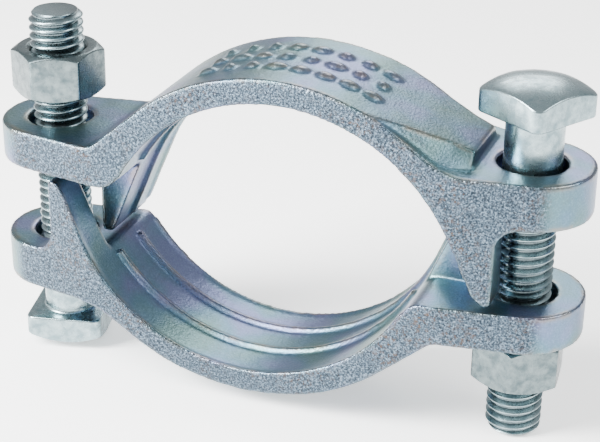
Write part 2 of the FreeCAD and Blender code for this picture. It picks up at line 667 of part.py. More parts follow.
# ---------------------------------------------------------------- build

UPRIGHT = Rotation()
TURNED_OVER = Rotation(Vector(1, 0, 0), 180)
HALF_TURN = Rotation(Vector(0, 1, 0), 180)


def about_bolt(alias):
    """Rotation about the bolt direction by an angle from the sheet."""
    return Rotation(Vector(0, 0, 1), size(alias))


upper_half = make_casting("upper_half")
place(upper_half, UPRIGHT)
lower_half = make_casting("lower_half")
place(lower_half, HALF_TURN)
bolt_right = make_bolt("bolt_right")
place(bolt_right, about_bolt("right_head_turn"), "bolt_spacing / 2", f"{HEAD_LUG_TOP} + right_head_gap")
bolt_left = make_bolt("bolt_left")
place(bolt_left, about_bolt("left_head_turn") * TURNED_OVER, "-bolt_spacing / 2",
      f"-{HEAD_LUG_TOP} - left_head_gap")
nut_right = make_nut("nut_right")
place(nut_right, about_bolt("right_nut_turn"), "bolt_spacing / 2",
      f"-{NUT_LUG_TOP} - right_nut_gap - nut_thickness")
nut_left = make_nut("nut_left")
place(nut_left, about_bolt("left_nut_turn"), "-bolt_spacing / 2", f"{NUT_LUG_TOP} + left_nut_gap")
doc.recompute()

pieces = [upper_half, lower_half, bolt_right, bolt_left, nut_right, nut_left]
faults = [f"{item.Name}: {item.State}" for item in doc.Objects
          if any(word in item.State for word in ("Invalid", "Error"))]
faults += [f"{piece.Label}: shape" for piece in pieces
           if piece.Shape.isNull() or not piece.Shape.isValid() or len(piece.Shape.Solids) != 1]
if faults:
    raise RuntimeError("; ".join(faults))

os.makedirs("parts", exist_ok=True)
for piece in pieces:
    piece.Shape.exportStep(f"parts/{piece.Label}.step")
    box = piece.Shape.BoundBox
    print(f"{piece.Label}: {piece.Shape.Volume:.0f} mm3, x {box.XMin:.2f}..{box.XMax:.2f}, "
          f"y {box.YMin:.2f}..{box.YMax:.2f}, z {box.ZMin:.2f}..{box.ZMax:.2f}")
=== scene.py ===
"""Looks of a double-bolt hose clamp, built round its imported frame.

Two zinc-plated iron castings are drawn together by two square-head bolts and two hexagon nuts.
+Z runs along the bolts, +X from the left bolt to the right one, +Y along the hose. Everything here
is in metres and in the frame's own coordinates.
"""

import logging
import math
from dataclasses import dataclass, field
from enum import Enum
from functools import partial
from typing import Callable, Sequence

import bmesh
import bpy
import numpy as np
from mathutils import Matrix, Vector


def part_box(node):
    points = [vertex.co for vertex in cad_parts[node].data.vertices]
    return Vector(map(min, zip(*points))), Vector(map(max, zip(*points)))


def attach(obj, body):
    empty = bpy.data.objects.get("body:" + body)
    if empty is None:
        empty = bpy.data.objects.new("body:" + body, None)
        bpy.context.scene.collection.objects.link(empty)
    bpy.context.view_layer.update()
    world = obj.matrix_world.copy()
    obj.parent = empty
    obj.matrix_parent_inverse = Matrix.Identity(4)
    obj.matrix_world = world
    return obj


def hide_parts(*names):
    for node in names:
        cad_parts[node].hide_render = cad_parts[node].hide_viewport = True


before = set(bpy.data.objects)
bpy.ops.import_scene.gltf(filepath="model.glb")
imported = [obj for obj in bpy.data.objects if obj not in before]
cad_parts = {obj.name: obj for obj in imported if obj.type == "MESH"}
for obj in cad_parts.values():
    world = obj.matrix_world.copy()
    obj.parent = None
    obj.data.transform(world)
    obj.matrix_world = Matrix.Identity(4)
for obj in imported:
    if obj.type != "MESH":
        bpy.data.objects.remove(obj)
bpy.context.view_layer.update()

LOG = logging.getLogger("hose_clamp")
MM = 0.001
STEPS_ROUND = 240  # round a bolt's head or a nut
SHARP_DEGREES = 38.0  # an edge that turns by more stays crisp
SEAM = 0.002 * MM  # points of a turned mesh closer than this are one
LONGEST_ROUNDING = 0.49  # share of a side that a rounded corner may take up
MIX_COLOUR_OUTPUT = 2  # a Mix node's outputs share one name, so its colour goes by number

Value = float | int | bool | str | tuple | bpy.types.NodeSocket


# ---------------------------------------------------------------- small tools

def hex_colour(code: str) -> tuple[float, float, float, float]:
    """Turn an sRGB hex code into a linear colour.

    Args:
        code: Six hex digits after a hash sign.

    Returns:
        Linear red, green and blue, with an alpha of one.
    """
    channels = [int(code[k:k + 2], 16) / 255 for k in (1, 3, 5)]
    linear = [c / 12.92 if c <= 0.04045 else ((c + 0.055) / 1.055) ** 2.4 for c in channels]
    return (*linear, 1.0)


def add_node(tree: bpy.types.NodeTree, kind: str, inputs: dict[str | int, Value] | None = None,
             **settings: Value) -> bpy.types.Node:
    """Add a node, set its properties, and set or link its inputs.

    Args:
        tree: Node tree to add to.
        kind: The node's type name.
        inputs: Socket name or index to a value, or to the output socket that feeds it.
        **settings: Properties of the node itself.

    Returns:
        The new node.
    """
    node = tree.nodes.new(kind)
    for name, value in settings.items():
        setattr(node, name, value)
    for key, value in (inputs or {}).items():
        if isinstance(value, bpy.types.NodeSocket):
            tree.links.new(value, node.inputs[key])
        else:
            node.inputs[key].default_value = value
    return node


def calculated(tree: bpy.types.NodeTree, operation: str, *values: Value) -> bpy.types.NodeSocket:
    """Result of one step of arithmetic on sockets or numbers."""
    return add_node(tree, "ShaderNodeMath", dict(enumerate(values)), operation=operation).outputs[0]


def mixed_colour(tree: bpy.types.NodeTree, share: Value, one: Value, two: Value
                 ) -> bpy.types.NodeSocket:
    """Mix two colours.

    Args:
        tree: The material's tree.
        share: How much of the second colour there is.
        one: First colour.
        two: Second colour.

    Returns:
        The mixed colour.
    """
    mix = add_node(tree, "ShaderNodeMix", {"Factor": share, "A": one, "B": two}, data_type="RGBA")
    return mix.outputs[MIX_COLOUR_OUTPUT]


def bare_material(name: str) -> bpy.types.Material:
    """Start a material whose tree is empty."""
    material = bpy.data.materials.new(name)
    material.use_nodes = True
    material.node_tree.nodes.clear()
    return material


def started_tree(name: str, sizes: dict[str, float], counts: dict[str, int] | None = None
                 ) -> tuple[bpy.types.NodeTree, bpy.types.NodeOutputs]:
    """Start a Geometry Nodes tree with a geometry and named inputs.

    Args:
        name: Name of the tree.
        sizes: Input names of the sizes.
        counts: Input names of the whole numbers.

    Returns:
        The tree, and the sockets of its inputs.
    """
    tree = bpy.data.node_groups.new(name, "GeometryNodeTree")
    kinds = {"Geometry": "NodeSocketGeometry", **dict.fromkeys(sizes, "NodeSocketFloat"),
             **dict.fromkeys(counts or {}, "NodeSocketInt")}
    for socket, kind in kinds.items():
        tree.interface.new_socket(socket, in_out="INPUT", socket_type=kind)
    tree.interface.new_socket("Geometry", in_out="OUTPUT", socket_type="NodeSocketGeometry")
    return tree, add_node(tree, "NodeGroupInput").outputs


def end_tree(tree: bpy.types.NodeTree, geometry: bpy.types.NodeSocket,
             finish: bpy.types.Material) -> None:
    """End a Geometry Nodes tree with plain geometry in one material.

    Args:
        tree: The tree.
        geometry: What it has made.
        finish: Material for the result.
    """
    real = add_node(tree, "GeometryNodeRealizeInstances", {0: geometry})
    dressed = add_node(tree, "GeometryNodeSetMaterial", {0: real.outputs[0], "Material": finish})
    add_node(tree, "NodeGroupOutput", {0: dressed.outputs[0]})


def new_object(name: str, mesh: bpy.types.Mesh) -> bpy.types.Object:
    """Put a mesh in the scene under a name, at the origin."""
    piece = bpy.data.objects.new(name, mesh)
    bpy.context.scene.collection.objects.link(piece)
    return piece


def applied(piece: bpy.types.Object) -> bpy.types.Object:
    """Turn an object's modifiers into plain mesh and take them off.

    Args:
        piece: Object with live modifiers.

    Returns:
        The same object, with its evaluated mesh.
    """
    depsgraph = bpy.context.evaluated_depsgraph_get()
    mesh = bpy.data.meshes.new_from_object(piece.evaluated_get(depsgraph))
    piece.modifiers.clear()
    piece.data = mesh
    return piece


def run_nodes(piece: bpy.types.Object, tree: bpy.types.NodeTree, values: dict[str, Value]) -> None:
    """Run a Geometry Nodes tree on an object once, and keep the mesh it makes.

    Args:
        piece: Object to run the tree on.
        tree: The tree, with named inputs.
        values: Input name to value.
    """
    modifier = piece.modifiers.new(tree.name, "NODES")
    modifier.node_group = tree
    identifiers = {item.name: item.identifier for item in tree.interface.items_tree
                   if item.item_type == "SOCKET" and item.in_out == "INPUT"}
    for name, value in values.items():
        modifier[identifiers[name]] = value
    applied(piece)


def shade_smooth(mesh: bpy.types.Mesh, sharp_degrees: float | None = None) -> None:
    """Shade a mesh smooth, with edges sharper than an angle left crisp."""
    mesh.polygons.foreach_set("use_smooth", [True] * len(mesh.polygons))
    if sharp_degrees is not None:
        mesh.set_sharp_from_angle(angle=math.radians(sharp_degrees))
    mesh.update()


def hand_over(piece: bpy.types.Object, body: str, slot: str, *nodes: str) -> None:
    """Give a finished piece to its body, in place of its nodes.

    Args:
        piece: Finished piece, at the origin.
        body: Body that the piece moves with.
        slot: Not used.
        *nodes: Nodes that the piece stands for.
    """
    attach(piece, body)
    if nodes:
        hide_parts(*nodes)
    triangles = sum(len(face.vertices) - 2 for face in piece.data.polygons)
    LOG.info("%s rides on %s: %d triangles", piece.name, body, triangles)


# ---------------------------------------------------------------- finishes

class Facing(Enum):
    """Which way a casting's crown or a bolt's head points along Z."""

    UP = 1
    DOWN = -1


@dataclass(frozen=True)
class CastZinc:
    """Malleable iron, sand cast and zinc plated.

    The sides keep the sand's grain, which the plating turns into bright and dark specks. The outside
    of the arc is smoother, with the blue, lilac and straw tints of a clear passivated zinc.
    """

    name: str = "sand_cast_iron_zinc_plated"
    grain_mm: float = 0.42
    cloud_mm: float = 15.0
    side_dark: str = "#252c33"
    side_mid: str = "#414e5a"
    side_light: str = "#788a9a"
    skin_blue: str = "#587789"
    skin_lilac: str = "#6b7397"
    skin_teal: str = "#5d7b7a"
    straw: str = "#927f66"
    rust: str = "#57463a"
    roughness_side: float = 0.42
    roughness_skin: float = 0.34
    roughness_edge: float = 0.26
    speck_share: float = 0.22

    def material(self) -> bpy.types.Material:
        """Build the material.

        Returns:
            A metal that reads Object coordinates and the attributes side and edge.
        """
        material = bare_material(self.name)
        tree = material.node_tree
        place = add_node(tree, "ShaderNodeTexCoord").outputs["Object"]
        side = add_node(tree, "ShaderNodeAttribute", attribute_name="side").outputs["Fac"]
        edge = add_node(tree, "ShaderNodeAttribute", attribute_name="edge").outputs["Fac"]

        grain = add_node(tree, "ShaderNodeTexNoise", {
            "Vector": place, "Scale": 1 / (self.grain_mm * MM), "Detail": 3.0, "Roughness": 0.65})
        pits = add_node(tree, "ShaderNodeTexVoronoi", {
            "Vector": place, "Scale": 0.8 / (self.grain_mm * MM)}, feature="SMOOTH_F1")
        cloud = add_node(tree, "ShaderNodeTexNoise", {
            "Vector": place, "Scale": 1 / (self.cloud_mm * MM), "Detail": 2.0, "Roughness": 0.5})
        patch = add_node(tree, "ShaderNodeTexNoise", {
            "Vector": place, "Scale": 3 / (self.cloud_mm * MM), "Detail": 4.0, "Roughness": 0.6})

        specks = add_node(tree, "ShaderNodeValToRGB", {"Fac": grain.outputs["Fac"]})
        self._stops(specks, [(0.36, self.side_dark), (0.50, self.side_mid), (0.66, self.side_light)])
        skin = add_node(tree, "ShaderNodeValToRGB", {"Fac": cloud.outputs["Fac"]})
        self._stops(skin, [(0.34, self.skin_teal), (0.50, self.skin_blue), (0.64, self.skin_lilac)])
        specked = mixed_colour(tree, self.speck_share, skin.outputs["Color"], specks.outputs["Color"])
        tinted = self._straw_near_edges(tree, specked, edge, patch)
        surface = mixed_colour(tree, side, tinted, specks.outputs["Color"])
        stained = self._rust_spots(tree, surface, side, place)

        roughness = add_node(tree, "ShaderNodeMapRange", {
            "Value": side, "To Min": self.roughness_skin, "To Max": self.roughness_side})
        rubbed = add_node(tree, "ShaderNodeMapRange", {"Value": edge, "From Min": 0.15, "From Max": 0.7})
        final_roughness = add_node(tree, "ShaderNodeMix", {
            "Factor": rubbed.outputs["Result"], "A": roughness.outputs["Result"],
            "B": self.roughness_edge}, data_type="FLOAT")
        relief = calculated(tree, "ADD", grain.outputs["Fac"], pits.outputs["Distance"])
        depth = add_node(tree, "ShaderNodeMapRange", {"Value": side, "To Min": 0.22, "To Max": 0.95})
        bump = add_node(tree, "ShaderNodeBump", {
            "Height": relief, "Strength": depth.outputs["Result"],
            "Distance": 0.5 * self.grain_mm * MM})
        shader = add_node(tree, "ShaderNodeBsdfPrincipled", {
            "Base Color": stained, "Metallic": 1.0,
            "Roughness": final_roughness.outputs["Result"], "Normal": bump.outputs["Normal"]})
        add_node(tree, "ShaderNodeOutputMaterial", {"Surface": shader.outputs["BSDF"]})
        return material

    def _rust_spots(self, tree: bpy.types.NodeTree, surface: bpy.types.NodeSocket,
                    side: bpy.types.NodeSocket, place: bpy.types.NodeSocket) -> bpy.types.NodeSocket:
        """Darken scattered spots to brown, mostly on the sandy sides.

        Args:
            tree: The material's tree.
            surface: Colour of the surface so far.
            side: How sandy the surface is.
            place: Object coordinates.

        Returns:
            The stained colour.
        """
        spots = add_node(tree, "ShaderNodeTexNoise", {
            "Vector": place, "Scale": 0.45 / (self.grain_mm * MM), "Detail": 3.0, "Roughness": 0.7})
        areas = add_node(tree, "ShaderNodeTexNoise", {
            "Vector": place, "Scale": 1.6 / (self.cloud_mm * MM), "Detail": 1.0})
        where = add_node(tree, "ShaderNodeMapRange", {
            "Value": areas.outputs["Fac"], "From Min": 0.42, "From Max": 0.66, "To Min": 0.12})
        rare = add_node(tree, "ShaderNodeMapRange", {
            "Value": spots.outputs["Fac"], "From Min": 0.50, "From Max": 0.66})
        sandy = add_node(tree, "ShaderNodeMapRange", {"Value": side, "To Min": 0.25, "To Max": 0.9})
        share = calculated(tree, "MULTIPLY", where.outputs["Result"], rare.outputs["Result"])
        final = calculated(tree, "MULTIPLY", share, sandy.outputs["Result"])
        return mixed_colour(tree, final, surface, hex_colour(self.rust))

    def _straw_near_edges(self, tree: bpy.types.NodeTree, skin: bpy.types.NodeSocket,
                          edge: bpy.types.NodeSocket, patch: bpy.types.Node) -> bpy.types.NodeSocket:
        """Mix straw tints into the skin where the surface starts to turn over an edge.

        Args:
            tree: The material's tree.
            skin: Colour of the plain skin.
            edge: How strongly the surface turns.
            patch: Noise that breaks the tint up.

        Returns:
            The tinted colour.
        """
        near = add_node(tree, "ShaderNodeMapRange", {
            "Value": edge, "From Min": 0.02, "From Max": 0.25})
        broken = add_node(tree, "ShaderNodeMapRange", {
            "Value": patch.outputs["Fac"], "From Min": 0.42, "From Max": 0.62, "To Min": 0.05,
            "To Max": 0.4})
        share = calculated(tree, "MULTIPLY", near.outputs["Result"], broken.outputs["Result"])
        return mixed_colour(tree, share, skin, hex_colour(self.straw))

    @staticmethod
    def _stops(ramp: bpy.types.Node, stops: Sequence[tuple[float, str]]) -> None:
        """Set a colour ramp's stops."""
        elements = ramp.color_ramp.elements
        while len(elements) < len(stops):
            elements.new(0.5)
        for element, (position, code) in zip(elements, stops):
            element.position = position
            element.color = hex_colour(code)


@dataclass(frozen=True)
class BarrelZinc:
    """Cold-headed steel, barrel plated with bright zinc.

    It is smooth and mirrors soft light in streaks, with faint rub marks; painted shade darkens the
    roots of the thread.
    """

    name: str
    tone: str
    shade: str
    # painted shade: the dark grey painted into the thread's roots, and how much of it
    painted_root_shade: str = "#3c4245"
    painted_root_shade_share: float = 0.72
    roughness: float = 0.24
    smoother: float = 0.05
    rougher: float = 0.10
    rub_mm: float = 2.2
    rub_from: float = 0.3
    rub_to: float = 0.7

    def material(self) -> bpy.types.Material:
        """Build the material.

        Returns:
            A metal that reads Object coordinates and the attribute root.
        """
        material = bare_material(self.name)
        tree = material.node_tree
        place = add_node(tree, "ShaderNodeTexCoord").outputs["Object"]
        root = add_node(tree, "ShaderNodeAttribute", attribute_name="root").outputs["Fac"]
        rub = add_node(tree, "ShaderNodeTexNoise", {
            "Vector": place, "Scale": 1 / (self.rub_mm * MM), "Detail": 5.0, "Roughness": 0.6})
        fine = add_node(tree, "ShaderNodeTexNoise", {
            "Vector": place, "Scale": 8 / (self.rub_mm * MM), "Detail": 2.0})
        tone = add_node(tree, "ShaderNodeMapRange", {
            "Value": rub.outputs["Fac"], "From Min": self.rub_from, "From Max": self.rub_to})
        rubbed = mixed_colour(tree, tone.outputs["Result"], hex_colour(self.tone), hex_colour(self.shade))
        # painted shade: the thread's roots are darkened in the colour itself, standing in for shade
        painted_root_shade = add_node(tree, "ShaderNodeMapRange", {"Value": root, "To Max": self.painted_root_shade_share})
        painted_root_shaded = mixed_colour(tree, painted_root_shade.outputs["Result"], rubbed, hex_colour(self.painted_root_shade))
        roughness = add_node(tree, "ShaderNodeMapRange", {
            "Value": rub.outputs["Fac"], "From Min": self.rub_from, "From Max": self.rub_to,
            "To Min": self.roughness - self.smoother, "To Max": self.roughness + self.rougher})
        bump = add_node(tree, "ShaderNodeBump", {
            "Height": fine.outputs["Fac"], "Strength": 0.10, "Distance": 0.1 * MM})
        shader = add_node(tree, "ShaderNodeBsdfPrincipled", {
            "Base Color": painted_root_shaded, "Metallic": 1.0,
            "Roughness": roughness.outputs["Result"], "Normal": bump.outputs["Normal"]})
        add_node(tree, "ShaderNodeOutputMaterial", {"Surface": shader.outputs["BSDF"]})
        return material


@dataclass(frozen=True)
class Board:
    """Plain pale board to stand the part on.

    It glows a little, so that it stays near white without light strong enough to bleach the part.
    """

    name: str = "matt_white_board"
    tone: str = "#fcfcfb"
    roughness: float = 0.9
    glow: float = 0.8

    def material(self) -> bpy.types.Material:
        """Build the material."""
        material = bpy.data.materials.new(self.name)
        material.use_nodes = True
        shader = material.node_tree.nodes["Principled BSDF"]
        shader.inputs["Base Color"].default_value = hex_colour(self.tone)
        shader.inputs["Roughness"].default_value = self.roughness
        shader.inputs["Emission Color"].default_value = hex_colour(self.tone)
        shader.inputs["Emission Strength"].default_value = self.glow
        return material


# ---------------------------------------------------------------- castings

@dataclass
class CastHalf:
    """One casting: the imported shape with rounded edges, sand grain and raised pips on its crown.

    The crown is an arc, whose centre is given for the half that faces up. A face counts as sandy
    where its normal points along Y by more than sandy_from, and fully so at sandy_from plus
    sandy_blend. Nearer to the middle than face_from along Y nothing is sandy.
    """

    node: str
    facing: Facing
    weld: float = 0.001 * MM
    voxel: float = 0.42 * MM
    rounding_passes: int = 9
    rounding_strength: float = 0.5
    crown_x: float = 3.8 * MM
    crown_z: float = -12.3 * MM
    crown_radius: float = 51.0 * MM
    shortest_pip: float = 0.65
    longest_pip: float = 1.35
    sandy_from: float = 0.55
    sandy_blend: float = 0.35
    face_from: float = 11.5 * MM
    face_blend: float = 1.5 * MM
    full_turn: float = 0.05 * MM
    turn_passes: int = 3
    side_passes: int = 2

    def build(self, finish: bpy.types.Material) -> bpy.types.Object:
        """Make the piece, dress it and hand it over.

        Args:
            finish: The castings' material.

        Returns:
            The finished casting.
        """
        piece = self._blank()
        self._raise_pips(piece, finish)
        self._round(piece)
        self._surface_attributes(piece.data)
        self._sand_grain(piece, finish)
        shade_smooth(piece.data)
        hand_over(piece, self.node, "casting", self.node)
        return piece

    def _blank(self) -> bpy.types.Object:
        """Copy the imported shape, with its faces joined."""
        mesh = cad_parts[self.node].data.copy()
        mesh.materials.clear()
        work = bmesh.new()
        work.from_mesh(mesh)
        bmesh.ops.remove_doubles(work, verts=work.verts, dist=self.weld)
        work.to_mesh(mesh)
        work.free()
        return new_object(f"{self.node}_casting", mesh)

    def _raise_pips(self, piece: bpy.types.Object, finish: bpy.types.Material) -> None:
        """Stand rows of soft oval pips on the crown with Geometry Nodes.

        Args:
            piece: The blank, which gains the pips as separate shells.
            finish: Material for the result.
        """
        way = self.facing.value
        sizes = {
            "Crown x": way * self.crown_x, "Crown z": way * self.crown_z,
            "Crown radius": way * self.crown_radius, "Row length": 39.0 * MM, "Row spread": 13.4 * MM,
            "Pip length": 2.0 * MM, "Pip width": 1.75 * MM, "Pip height": 1.1 * MM}
        counts = {"Pips in a row": 8, "Rows": 3, "Seed": 7}
        tree, given = started_tree("raised_pips", sizes, counts)
        calc = partial(calculated, tree)
        grid = add_node(tree, "GeometryNodeMeshGrid", {
            "Size X": given["Row length"], "Size Y": given["Row spread"],
            "Vertices X": given["Pips in a row"], "Vertices Y": given["Rows"]})
        flat = add_node(tree, "ShaderNodeSeparateXYZ", {
            0: add_node(tree, "GeometryNodeInputPosition").outputs[0]})
        lean = calc("DIVIDE", flat.outputs["X"], given["Crown radius"])
        kept = add_node(tree, "GeometryNodeStoreNamedAttribute", {
            "Geometry": grid.outputs["Mesh"], "Name": "lean", "Value": lean}, data_type="FLOAT")
        angle = add_node(tree, "GeometryNodeInputNamedAttribute", {"Name": "lean"},
                         data_type="FLOAT").outputs["Attribute"]
        x = calc("ADD", given["Crown x"], calc("MULTIPLY", given["Crown radius"], calc("SINE", angle)))
        z = calc("ADD", given["Crown z"], calc("MULTIPLY", given["Crown radius"], calc("COSINE", angle)))
        seat = add_node(tree, "ShaderNodeCombineXYZ", {"X": x, "Y": flat.outputs["Y"], "Z": z})
        seated = add_node(tree, "GeometryNodeSetPosition", {
            "Geometry": kept.outputs[0], "Position": seat.outputs[0]})
        pip = add_node(tree, "GeometryNodeMeshIcoSphere", {"Radius": 1.0, "Subdivisions": 3})
        vary = add_node(tree, "FunctionNodeRandomValue", {
            "Seed": given["Seed"], 2: self.shortest_pip, 3: self.longest_pip}, data_type="FLOAT")
        length = calc("MULTIPLY", given["Pip length"], vary.outputs[1])
        scale = add_node(tree, "ShaderNodeCombineXYZ", {
            "X": length, "Y": given["Pip width"], "Z": given["Pip height"]})
        turn = add_node(tree, "ShaderNodeCombineXYZ", {"Y": angle})
        spread = add_node(tree, "GeometryNodeInstanceOnPoints", {
            "Points": seated.outputs[0], "Instance": pip.outputs["Mesh"],
            "Rotation": turn.outputs[0], "Scale": scale.outputs[0]})
        joined = add_node(tree, "GeometryNodeJoinGeometry")
        tree.links.new(spread.outputs[0], joined.inputs[0])
        tree.links.new(given["Geometry"], joined.inputs[0])
        end_tree(tree, joined.outputs[0], finish)
        run_nodes(piece, tree, {**sizes, **counts})

    def _round(self, piece: bpy.types.Object) -> None:
        """Remesh the blank and its pips as one fine skin, and round the edges."""
        remesh = piece.modifiers.new("skin", "REMESH")
        remesh.mode = "VOXEL"
        remesh.voxel_size = self.voxel
        smooth = piece.modifiers.new("rounding", "SMOOTH")
        smooth.factor = self.rounding_strength
        smooth.iterations = self.rounding_passes
        applied(piece)

    def _surface_attributes(self, mesh: bpy.types.Mesh) -> None:
        """Store how sandy each point is, and how sharply the surface turns there.

        Args:
            mesh: The rounded shell, which gets the attributes side and edge.
        """
        count = len(mesh.vertices)
        places = np.empty(count * 3)
        normals = np.empty(count * 3)
        mesh.vertices.foreach_get("co", places)
        mesh.vertices.foreach_get("normal", normals)
        places, normals = places.reshape(-1, 3), normals.reshape(-1, 3)
        pairs = np.empty(len(mesh.edges) * 2, dtype=np.int64)
        mesh.edges.foreach_get("vertices", pairs)
        pairs = pairs.reshape(-1, 2)
        degree = np.bincount(pairs.ravel(), minlength=count)[:, None]

        def neighbours(values: np.ndarray) -> np.ndarray:
            """Mean of each point's neighbours."""
            total = np.zeros_like(values)
            np.add.at(total, pairs[:, 0], values[pairs[:, 1]])
            np.add.at(total, pairs[:, 1], values[pairs[:, 0]])
            return total / degree

        turn = ((places - neighbours(places)) * normals).sum(1, keepdims=True)
        for _ in range(self.turn_passes):
            turn = 0.5 * turn + 0.5 * neighbours(turn)
        turn /= self.full_turn
        side = np.clip((np.abs(normals[:, 1:2]) - self.sandy_from) / self.sandy_blend, 0, 1)
        side *= np.clip((np.abs(places[:, 1:2]) - self.face_from) / self.face_blend, 0, 1)
        for _ in range(self.side_passes):
            side = neighbours(side)
        for name, values in (("side", side), ("edge", np.clip(turn, -1, 1))):
            attribute = mesh.attributes.new(name, "FLOAT", "POINT")
            attribute.data.foreach_set("value", values.ravel().astype(np.float32))

    def _sand_grain(self, piece: bpy.types.Object, finish: bpy.types.Material) -> None:
        """Raise the sand's grain and the casting's slow unevenness with Geometry Nodes.

        Args:
            piece: Shell with its attributes.
            finish: Material for the result.
        """
        sizes = {"Grain size": 0.9 * MM, "Grain height": 0.13 * MM, "Wave size": 9.0 * MM,
                 "Wave height": 0.22 * MM}
        tree, given = started_tree("sand_grain", sizes)
        calc = partial(calculated, tree)
        place = add_node(tree, "GeometryNodeInputPosition").outputs[0]
        normal = add_node(tree, "GeometryNodeInputNormal").outputs[0]
        side = add_node(tree, "GeometryNodeInputNamedAttribute", {"Name": "side"},
                        data_type="FLOAT").outputs["Attribute"]
        heights = []
        for size, height in (("Grain size", "Grain height"), ("Wave size", "Wave height")):
            noise = add_node(tree, "ShaderNodeTexNoise", {
                "Vector": place, "Scale": calc("DIVIDE", 1.0, given[size]), "Detail": 1.0})
            heights.append(calc("MULTIPLY", calc("SUBTRACT", noise.outputs[0], 0.5), given[height]))
        share = add_node(tree, "ShaderNodeMapRange", {"Value": side, "To Min": 0.25})
        total = calc("ADD", calc("MULTIPLY", heights[0], share.outputs[0]), heights[1])
        offset = add_node(tree, "ShaderNodeVectorMath", {0: normal, "Scale": total}, operation="SCALE")
        moved = add_node(tree, "GeometryNodeSetPosition", {
            "Geometry": given["Geometry"], "Offset": offset.outputs[0]})
        end_tree(tree, moved.outputs[0], finish)
        run_nodes(piece, tree, sizes)


# ---------------------------------------------------------------- fasteners

@dataclass(frozen=True)
class Polygon:
    """Regular polygon with rounded corners, as a distance from its centre at each angle."""

    sides: int
    across_flats: float
    corner_radius: float

    def reach(self, angle: float) -> float:
        """Distance from the centre to the outline.

        Args:
            angle: Direction in radians. A corner lies at zero.

        Returns:
            The distance in metres.
        """
        half = math.pi / self.sides
        apothem = self.across_flats / 2
        off_corner = (angle + half) % (2 * half) - half
        off_flat = half - abs(off_corner)
        flat_end = math.atan((apothem - self.corner_radius) * math.tan(half) / apothem)
        if off_flat <= flat_end:
            return apothem / math.cos(off_flat)
        hub = (apothem - self.corner_radius) / math.cos(half)
        return hub * math.cos(off_corner) + math.sqrt(
            self.corner_radius ** 2 - (hub * math.sin(off_corner)) ** 2)


def rounded_path(corners: Sequence[tuple[float, float, float]], steps: int = 4
                 ) -> list[tuple[float, float]]:
    """Round the inner corners of an open outline.

    Args:
        corners: Distance from the axis, height and rounding radius at each corner.
        steps: Points on each rounded corner, less one.

    Returns:
        Points of the rounded outline, always the same number for the same corners.
    """
    points = [corners[0][:2]]
    for (ax, az, _), (bx, bz, radius), (cx, cz, _) in zip(corners, corners[1:], corners[2:]):
        back, ahead = Vector((ax - bx, az - bz)), Vector((cx - bx, cz - bz))
        corner = Vector((bx, bz))
        if radius == 0:
            points.append((bx, bz))
            continue
        half = back.angle(ahead) / 2
        run = min(radius / math.tan(half), LONGEST_ROUNDING * min(back.length, ahead.length))
        start, end = corner + back.normalized() * run, corner + ahead.normalized() * run
        for k in range(steps + 1):
            share = k / steps
            bent = (1 - share) ** 2 * start + 2 * share * (1 - share) * corner + share ** 2 * end
            points.append((bent.x, bent.y))
    points.append(corners[-1][:2])
    return points


def turned_mesh(name: str, outline: Callable[[float], list[tuple[float, float]]], count: int,
                closed: bool) -> bpy.types.Mesh:
    """Sweep an outline round the Z axis, where the outline may change with the angle.

    Args:
        name: Name of the mesh.
        outline: Gives the points, as distance from the axis and height, at an angle.
        count: Steps round the axis.
        closed: Whether the outline's last point joins its first, as on a ring.

    Returns:
        A closed mesh with its faces outwards.
    """
    work = bmesh.new()
    columns = []
    for k in range(count):
        angle = 2 * math.pi * k / count
        columns.append([work.verts.new((r * math.cos(angle), r * math.sin(angle), z))
                        for r, z in outline(angle)])
    length = len(columns[0])
    spans = range(length if closed else length - 1)
    for k in range(count):
        one, two = columns[k], columns[(k + 1) % count]
        for j in spans:
            after = (j + 1) % length
            work.faces.new((one[j], two[j], two[after], one[after]))
    bmesh.ops.remove_doubles(work, verts=work.verts, dist=SEAM)
    bmesh.ops.recalc_face_normals(work, faces=work.faces)
    mesh = bpy.data.meshes.new(name)
    work.to_mesh(mesh)
    work.free()
    return mesh


